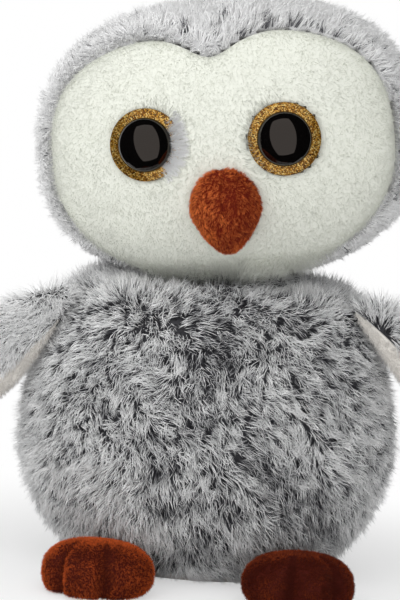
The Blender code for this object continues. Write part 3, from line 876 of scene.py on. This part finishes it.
def dress_wing(name, side):
    rng = np.random.default_rng(15 + side)
    frame_here = wing_frame(side)
    turn = np.array(frame_here)[:3, :3]

    def furry(points, edge):
        # The fur side is the front, and stops short of the lower edge, which the lining wraps
        local = flat_arrays(points, frame_here)
        share = np.clip(side * local[:, 0] / WING_LENGTH + 0.05, 0, 1)
        lower = -WING_WIDTH / 2 * (0.55 + 0.9 * share) - 6 * MM * np.sin(math.pi * share) * share
        lower = lower + (6 * MM if side > 0 else 1.5 * MM)
        return (local[:, 1] < 1 * MM) & (local[:, 2] > lower + edge * (0.4 + share))

    fur_inset = 2.4 * MM
    roots, normals = scatter(wing_form(side, fur_inset), WING_FIBRES, rng)
    keep = furry(roots, 7 * MM)
    roots, normals = roots[keep], normals[keep]
    along = side * flat_arrays(roots, frame_here)[:, 0]
    outward = np.clip((along - 10 * MM) / (10 * MM), -0.8, 1)
    flow = np.stack((side * outward, np.zeros(len(along)), np.full(len(along), -0.25)), 1) @ turn.T
    combs = along_surface(flow + 0.4 * swirl(roots, 30 * MM, 61), normals)

    def tone(roots, clump, own):
        # Painted shade: the owl's left wing, away from the lamps, is darker than its right, and each wing is
        # darker toward its lower edge
        low = np.clip(-flat_arrays(roots, frame_here)[:, 2] / (12 * MM), -1, 1)
        middle = 0.98 if side < 0 else 0.62
        return middle - 0.2 * low + 0.14 * waves(roots, 16 * MM, 12) + 0.26 * clump + 0.10 * own

    by_root = ramp(-along, -22 * MM, -10 * MM)
    lengths = WING_PILE * (1 + 0.15 * by_root)
    lean = (36 - 12 * by_root, 74 - 22 * by_root)
    fibres = grow(
        roots, normals, combs, rng, lengths, lean,
        width=0.40 * MM, clumps=1800, pull=0.3, toss=0.4, stray=0.24, tone=tone,
    )
    skin = keep_faces(wing_form(side, fur_inset), lambda centres: furry(centres, 7 * MM))
    piece = f"{name}_wing_fur"
    mesh = pile_mesh(piece, skin, WING_CLOTH, fibres, LONG_FIBRE, rng)
    add_piece(piece, mesh, FROSTED_FUR, f"{name}_wing", [f"{name}_wing_upper"], "frosted_fur")

    lining_inset = 1.2 * MM
    roots, normals = scatter(wing_form(side, lining_inset), LINING_FIBRES, rng)
    keep = ~furry(roots, 5 * MM)
    roots, normals = roots[keep], normals[keep]
    combs = along_surface(np.tile(np.array((side * 1.0, 0, -0.3)) @ turn.T, (len(roots), 1)), normals)
    fibres = grow(
        roots, normals, combs, rng, LINING_NAP, (15, 40),
        width=0.30 * MM, clumps=2000, pull=0.2, toss=0.3, stray=0.25, tone=plain_tone(0.55, 0.12, 0.12),
    )
    skin = keep_faces(wing_form(side, lining_inset), lambda centres: ~furry(centres, 6 * MM))
    piece = f"{name}_wing_lining_plush"
    mesh = pile_mesh(piece, skin, WING_CLOTH, fibres, SHORT_FIBRE, rng)
    add_piece(piece, mesh, PALE_PLUSH, f"{name}_wing", [f"{name}_wing_lining"], "pale_plush")


def dress_foot(name, side):
    rng = np.random.default_rng(18 + side)
    inset = 1.1 * MM
    frame_here = foot_frame(side)
    turn = np.array(frame_here)[:3, :3]
    roots, normals = scatter(foot_form(side, inset), FOOT_FIBRES, rng)
    combs = along_surface(np.array((0.1, -1, -0.2)) @ turn.T + 0.5 * swirl(roots, 14 * MM, 71), normals)

    def tone(roots, clump, own):
        # Painted shade: dark lines in the creases between the toes, and the owl's left foot, away from the
        # lamps, darker
        local = flat_arrays(roots, frame_here)
        ahead = -local[:, 1] - 20 * MM
        toe_crease_shade = bell((np.abs(np.arctan2(local[:, 0], ahead)) - 0.47) / 0.09)
        toe_crease_shade = toe_crease_shade * (np.hypot(local[:, 0], ahead) > 12 * MM)
        middle = 0.80 if side < 0 else 0.24
        return middle - 0.4 * toe_crease_shade + 0.12 * waves(roots, 14 * MM, 14) + 0.07 * clump + 0.05 * own

    fibres = grow(
        roots, normals, combs, rng, FOOT_NAP, (25, 55),
        width=0.30 * MM, clumps=3000, pull=0.3, toss=0.3, stray=0.25, tone=tone,
    )
    seam = BASE_THICK + GAP / 2
    above = roots[:, 2] > seam
    for part, mask, sign in (("upper", above, -1), ("sole", ~above, 1)):
        half = keep_side(foot_form(side, inset), (0, 0, seam), (0, 0, sign))
        node = f"{name}_foot_{part}"
        piece = f"{node}_plush"
        kept = [value[mask] for value in fibres]
        mesh = pile_mesh(piece, half, PLUSH_CLOTH, kept, SHORT_FIBRE, rng)
        add_piece(piece, mesh, RED_BROWN_PLUSH, f"{name}_foot", [node], "red_brown_plush")


# Inside: wadding and the pellet bag, and the base


def wadding_finish():
    # Loose polyester wadding: a matt white fleece with lumps of about 8 mm
    material, tree, shader = new_finish(
        "polyester_wadding", {"Base Color": linear("#ecebe8"), "Roughness": 0.95}
    )
    place = add_node(tree, "ShaderNodeTexCoord")
    lump = 8 * MM
    lumps = add_node(
        tree,
        "ShaderNodeTexNoise",
        {"Vector": place.outputs["Object"], "Scale": 1 / lump, "Detail": 6.0, "Roughness": 0.7},
    )
    bump = add_node(
        tree, "ShaderNodeBump", {"Height": lumps.outputs["Fac"], "Strength": 0.8, "Distance": 1 * MM}
    )
    tree.links.new(bump.outputs["Normal"], shader.inputs["Normal"])
    return material


def bag_finish():
    # Thin woven polyester over pellets of about 3 mm, which show through as bumps
    material, tree, shader = new_finish(
        "woven_polyester_bag", {"Base Color": linear("#d0cdc4"), "Roughness": 0.85}
    )
    place = add_node(tree, "ShaderNodeTexCoord")
    pellet = MM / 0.33
    pellets = add_node(tree, "ShaderNodeTexVoronoi", {"Vector": place.outputs["Object"], "Scale": 1 / pellet})
    bump = add_node(
        tree,
        "ShaderNodeBump",
        {"Height": pellets.outputs["Distance"], "Strength": 0.7, "Distance": 1 * MM},
        invert=True,
    )
    tree.links.new(bump.outputs["Normal"], shader.inputs["Normal"])
    return material


def base_finish():
    # Short plush pressed flat under the toy: a matt pale cloth with a fine nap of about 0.8 mm
    material, tree, shader = new_finish("pressed_polyester_plush", {"Roughness": 0.9})
    place = add_node(tree, "ShaderNodeTexCoord")
    tuft = MM / 1.2
    nap = add_node(
        tree, "ShaderNodeTexNoise", {"Vector": place.outputs["Object"], "Scale": 1 / tuft, "Detail": 3.0}
    )
    shades = add_node(tree, "ShaderNodeValToRGB", {"Fac": nap.outputs["Fac"]})
    shades.color_ramp.elements[0].color = linear("#bdb6b2")
    shades.color_ramp.elements[1].color = linear("#efebe8")
    tree.links.new(shades.outputs["Color"], shader.inputs["Base Color"])
    bump = add_node(
        tree, "ShaderNodeBump", {"Height": nap.outputs["Fac"], "Strength": 0.5, "Distance": 0.5 * MM}
    )
    tree.links.new(bump.outputs["Normal"], shader.inputs["Normal"])
    return material


WADDING = wadding_finish()
BAG_CLOTH = bag_finish()
BASE_CLOTH = base_finish()


def dent(bm, depth, period, seed):
    # Moves a form's surface inward by an uneven depth
    bm.normal_update()
    places = np.array([vert.co for vert in bm.verts])
    depths = depth * (0.55 + 0.45 * np.clip(waves(places, period, seed), -1, 1))
    for vert, inward in zip(bm.verts, depths):
        vert.co -= vert.normal * inward


def dress_stuffing(node, body, material, slot, depth, period):
    # The CAD solid's own form with an uneven surface. It comes as loose triangles, which are joined first
    bm = bmesh.new()
    bm.from_mesh(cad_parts[node].data)
    bmesh.ops.remove_doubles(bm, verts=bm.verts, dist=0.05 * MM)
    bmesh.ops.subdivide_edges(bm, edges=bm.edges[:], cuts=2, use_grid_fill=True)
    dent(bm, depth, period, 81)
    mesh = mesh_of(bm, f"{node}_stuffing")
    mesh.shade_smooth()
    add_piece(f"{node}_stuffing", mesh, material, body, [node], slot)


def dress_foot_stuffing(name, side):
    bm = foot_form(side, 3.6 * MM)
    dent(bm, 0.4 * MM, 8 * MM, 82)
    mesh = mesh_of(bm, f"{name}_foot_stuffing")
    mesh.shade_smooth()
    node = f"{name}_foot_filling"
    add_piece(f"{name}_foot_stuffing", mesh, WADDING, f"{name}_foot", [node], "fibre_filling")


def dress_base():
    low = BODY_SIDE_SHARES[0][0] * BODY_WIDTH / 2
    high = BASE_TOP_SHARE * BODY_WIDTH / 2
    edge = 0.8 * MM
    bm = turned([(0, 0), (low - edge, 0), (low, edge), (high - edge, BASE_THICK), (0, BASE_THICK)], 96)
    bmesh.ops.scale(bm, vec=(1, BODY_DEPTH_SHARE, 1), verts=bm.verts)
    mesh = mesh_of(bm, "body_base_cloth")
    mesh.shade_smooth()
    mesh.set_sharp_from_angle(angle=math.radians(40))
    add_piece("body_base_cloth", mesh, BASE_CLOTH, "body", ["body_base_panel"], "pale_plush")


# Eyes


def glitter_finish():
    # Gold polyester glitter in clear lacquer: each flake throws the light its own way, which its colour
    # paints, from dark brown for painted shade to light gold for a painted glint. Such flakes are about 0.2
    # mm wide, and are drawn twice as coarse so that they show
    material, tree, shader = new_finish(
        "gold_glitter_lacquer",
        {"Metallic": 0.7, "Roughness": 0.3, "Coat Weight": 0.3, "Coat Roughness": 0.1},
    )
    place = add_node(tree, "ShaderNodeTexCoord")
    flake = MM / 2.4
    flakes = add_node(tree, "ShaderNodeTexVoronoi", {"Vector": place.outputs["Object"], "Scale": 1 / flake})
    split = add_node(tree, "ShaderNodeSeparateColor", {"Color": flakes.outputs["Color"]})
    flake_glints = add_node(tree, "ShaderNodeValToRGB", {"Fac": split.outputs["Red"]})
    flake_glints.color_ramp.elements[0].color = linear("#221002")
    flake_glints.color_ramp.elements[1].color = linear("#ffe694")
    for share, colour in ((0.35, "#8f560c"), (0.7, "#dca23a")):
        flake_glints.color_ramp.elements.new(share).color = linear(colour)
    tree.links.new(flake_glints.outputs["Color"], shader.inputs["Base Color"])
    bump = add_node(
        tree, "ShaderNodeBump", {"Height": split.outputs["Green"], "Strength": 0.9, "Distance": 0.4 * MM}
    )
    tree.links.new(bump.outputs["Normal"], shader.inputs["Normal"])
    return material


def dome_finish():
    # Black moulded acrylic, polished: almost a mirror, in which only the key lamp shows
    material, _, _ = new_finish(
        "black_moulded_acrylic",
        {
            "Base Color": linear("#060505"),
            "Specular Tint": linear("#ffeadb"),
            "Roughness": 0.06,
            "IOR": 1.49,
            "Coat Weight": 0.3,
            "Coat Roughness": 0.03,
        },
    )
    return material


def nylon_finish():
    # Undyed moulded nylon, satin, for the lock washers
    material, _, _ = new_finish(
        "natural_moulded_nylon", {"Base Color": linear("#e0ddd2"), "Roughness": 0.45, "IOR": 1.53}
    )
    return material


GLITTER = glitter_finish()
ACRYLIC = dome_finish()
NYLON = nylon_finish()


def dress_eye(name, side):
    bore = SHANK_DIAMETER / 2 + SHANK_CLEARANCE
    outer = RING_DIAMETER / 2
    ring = [
        (bore, 0),
        (outer - RING_EDGE, 0),
        (outer, RING_EDGE),
        (outer, RING_THICK - RING_EDGE),
        (outer - RING_EDGE, RING_THICK),
        (bore, RING_THICK),
        (bore, 0),
    ]
    half = DOME_DIAMETER / 2
    shank = SHANK_DIAMETER / 2
    foot = RING_THICK + GAP
    rim = foot + DOME_EDGE
    dome = [(0, -SHANK_LENGTH), (shank, -SHANK_LENGTH), (shank, foot), (half - RING_EDGE, foot), (half, rim)]
    for step in range(1, 24):
        angle = math.pi / 2 * step / 24
        dome.append((half * math.cos(angle), rim + (DOME_HEIGHT - DOME_EDGE) * math.sin(angle)))
    dome.append((0, foot + DOME_HEIGHT))
    for piece, profile, material, node, slot in (
        ("glitter_ring", ring, GLITTER, "ring", "gold_glitter"),
        ("dome_moulding", dome, ACRYLIC, "dome", "black_dome"),
    ):
        bm = turned(profile, 96)
        bm.transform(eye_frame(side))
        mesh = mesh_of(bm, f"{name}_eye_{piece}")
        mesh.shade_smooth()
        mesh.set_sharp_from_angle(angle=math.radians(50))
        add_piece(f"{name}_eye_{piece}", mesh, material, "head", [f"{name}_eye_{node}"], slot)
    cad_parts[f"{name}_eye_washer"].material_slots[0].material = NYLON


dress_body()
dress_base()
dress_stuffing("body_filling", "body", WADDING, "fibre_filling", 1.2 * MM, 16 * MM)
dress_stuffing("pellet_bag", "body", BAG_CLOTH, "bag_cloth", 0.6 * MM, 12 * MM)
dress_head()
dress_stuffing("head_filling", "head", WADDING, "fibre_filling", 1.2 * MM, 16 * MM)
dress_stuffing("beak_filling", "head", WADDING, "fibre_filling", 0.5 * MM, 6 * MM)
dress_face()
dress_beak()
for owl_side, side_sign in (("left", 1), ("right", -1)):
    dress_wing(owl_side, side_sign)
    dress_foot(owl_side, side_sign)
    dress_foot_stuffing(owl_side, side_sign)
    dress_eye(owl_side, side_sign)

# Camera: a metre away, looking down a little from the height of the eyes, and rolled as the picture is

IMAGE_HEIGHT = 600
MM_PER_PIXEL = 0.436
CAMERA_DISTANCE = 1.0
CAMERA_RISE = 0.085
CAMERA_ROLL = math.radians(3.7)
CAMERA_TARGET = Vector((-0.0065, 0, 0.1165))
camera_data = bpy.data.cameras.new("camera")
camera = bpy.data.objects.new("camera", camera_data)
bpy.context.scene.collection.objects.link(camera)
bpy.context.scene.camera = camera
camera_data.sensor_width = 36
camera_data.lens = camera_data.sensor_width * CAMERA_DISTANCE / (MM_PER_PIXEL * MM * IMAGE_HEIGHT)
camera_data.clip_start = 0.01
camera.location = CAMERA_TARGET + Vector((0, -CAMERA_DISTANCE, CAMERA_RISE))


def aimed(thing, target, roll):
    look = (target - thing.location).to_track_quat("-Z", "Y").to_matrix()
    thing.rotation_euler = (look @ Matrix.Rotation(roll, 3, "Z")).to_euler()


aimed(camera, CAMERA_TARGET, CAMERA_ROLL)

# Studio

FLOOR_RADIUS = 3
DARK_RADIUS = 6
LAMP_TARGET = Vector((0, 0, 0.12))


def add_softbox(name, place, size, power, roll=0):
    data = bpy.data.lights.new(name, "AREA")
    data.shape = "RECTANGLE"
    data.size, data.size_y = size
    data.energy = power
    lamp = bpy.data.objects.new(name, data)
    bpy.context.scene.collection.objects.link(lamp)
    lamp.location = place
    aimed(lamp, LAMP_TARGET, math.radians(roll))
    lamp.visible_camera = False
    return lamp


def seen_ray(tree):
    # 1 for the rays that see the backdrop: the camera's own and those that polish or clear plastic sends on
    rays = add_node(tree, "ShaderNodeLightPath")
    seen = rays.outputs["Is Camera Ray"]
    for kind in ("Is Glossy Ray", "Is Transmission Ray"):
        either = add_node(tree, "ShaderNodeMath", {0: seen, 1: rays.outputs[kind]}, operation="MAXIMUM")
        seen = either.outputs["Value"]
    return seen


def add_floor():
    bm = bmesh.new()
    bmesh.ops.create_circle(bm, cap_ends=True, segments=96, radius=FLOOR_RADIUS)
    floor = bpy.data.objects.new("studio_floor", mesh_of(bm, "studio_floor"))
    bpy.context.scene.collection.objects.link(floor)
    # Matt white paper. Near the toy it is seen half as the plain white backdrop and keeps a soft shadow, and
    # past a quarter of a metre it is seen wholly so
    material, tree, shader = new_finish(
        "white_paper_floor", {"Base Color": linear("#f7f7f7"), "Roughness": 0.9}
    )
    place = add_node(tree, "ShaderNodeTexCoord")
    reach = add_node(tree, "ShaderNodeVectorMath", {0: place.outputs["Object"]}, operation="LENGTH")
    far = add_node(
        tree,
        "ShaderNodeMapRange",
        {"Value": reach.outputs["Value"], "From Min": 0.09, "From Max": 0.25, "To Min": 0.5},
        interpolation_type="SMOOTHSTEP",
    )
    seen = seen_ray(tree)
    share = add_node(tree, "ShaderNodeMath", {0: far.outputs["Result"], 1: seen}, operation="MULTIPLY")
    white = add_node(tree, "ShaderNodeEmission", {"Color": linear("#ffffff"), "Strength": 1.0})
    blend = add_node(
        tree,
        "ShaderNodeMixShader",
        {0: share.outputs["Value"], 1: shader.outputs["BSDF"], 2: white.outputs["Emission"]},
    )
    tree.links.new(blend.outputs["Shader"], tree.nodes["Material Output"].inputs["Surface"])
    floor.data.materials.append(material)
    floor.visible_glossy = False


def set_world():
    # An even white surround, weaker as a light than as it is seen
    world = bpy.data.worlds.new("studio")
    bpy.context.scene.world = world
    world.use_nodes = True
    tree = world.node_tree
    tree.nodes.clear()
    seen = seen_ray(tree)
    strength = add_node(tree, "ShaderNodeMapRange", {"Value": seen, "To Min": 0.56, "To Max": 1.0})
    light = add_node(
        tree, "ShaderNodeBackground", {"Color": linear("#ffffff"), "Strength": strength.outputs["Result"]}
    )
    add_node(tree, "ShaderNodeOutputWorld", {"Surface": light.outputs["Background"]})


def add_dark_half():
    # A matt black sheet over the camera's side of the studio, which only polished surfaces show: a painted
    # dark reflection, standing in for the unlit studio
    bm = bmesh.new()
    bmesh.ops.create_uvsphere(bm, u_segments=48, v_segments=24, radius=DARK_RADIUS)
    keep_side(bm, (0, DARK_RADIUS / 2, 0), (0, 1, 0))
    half = bpy.data.objects.new("studio_dark_half", mesh_of(bm, "studio_dark_half"))
    bpy.context.scene.collection.objects.link(half)
    material, _, _ = new_finish("studio_dark_reflection", {"Base Color": linear("#050505"), "Roughness": 1.0})
    half.data.materials.append(material)
    half.visible_camera = half.visible_diffuse = half.visible_shadow = half.visible_transmission = False


add_floor()
add_dark_half()
set_world()
add_softbox("key_softbox", (-0.12, -1.25, 0.34), (2.0, 4.4), power=24, roll=14)
add_softbox("left_softbox", (-1.1, -0.9, 0.6), (1.4, 1.4), power=4).visible_glossy = False
add_softbox("top_softbox", (-0.2, -0.5, 1.4), (1.8, 1.8), power=5).visible_glossy = False
bpy.context.scene.view_settings.view_transform = "Standard"
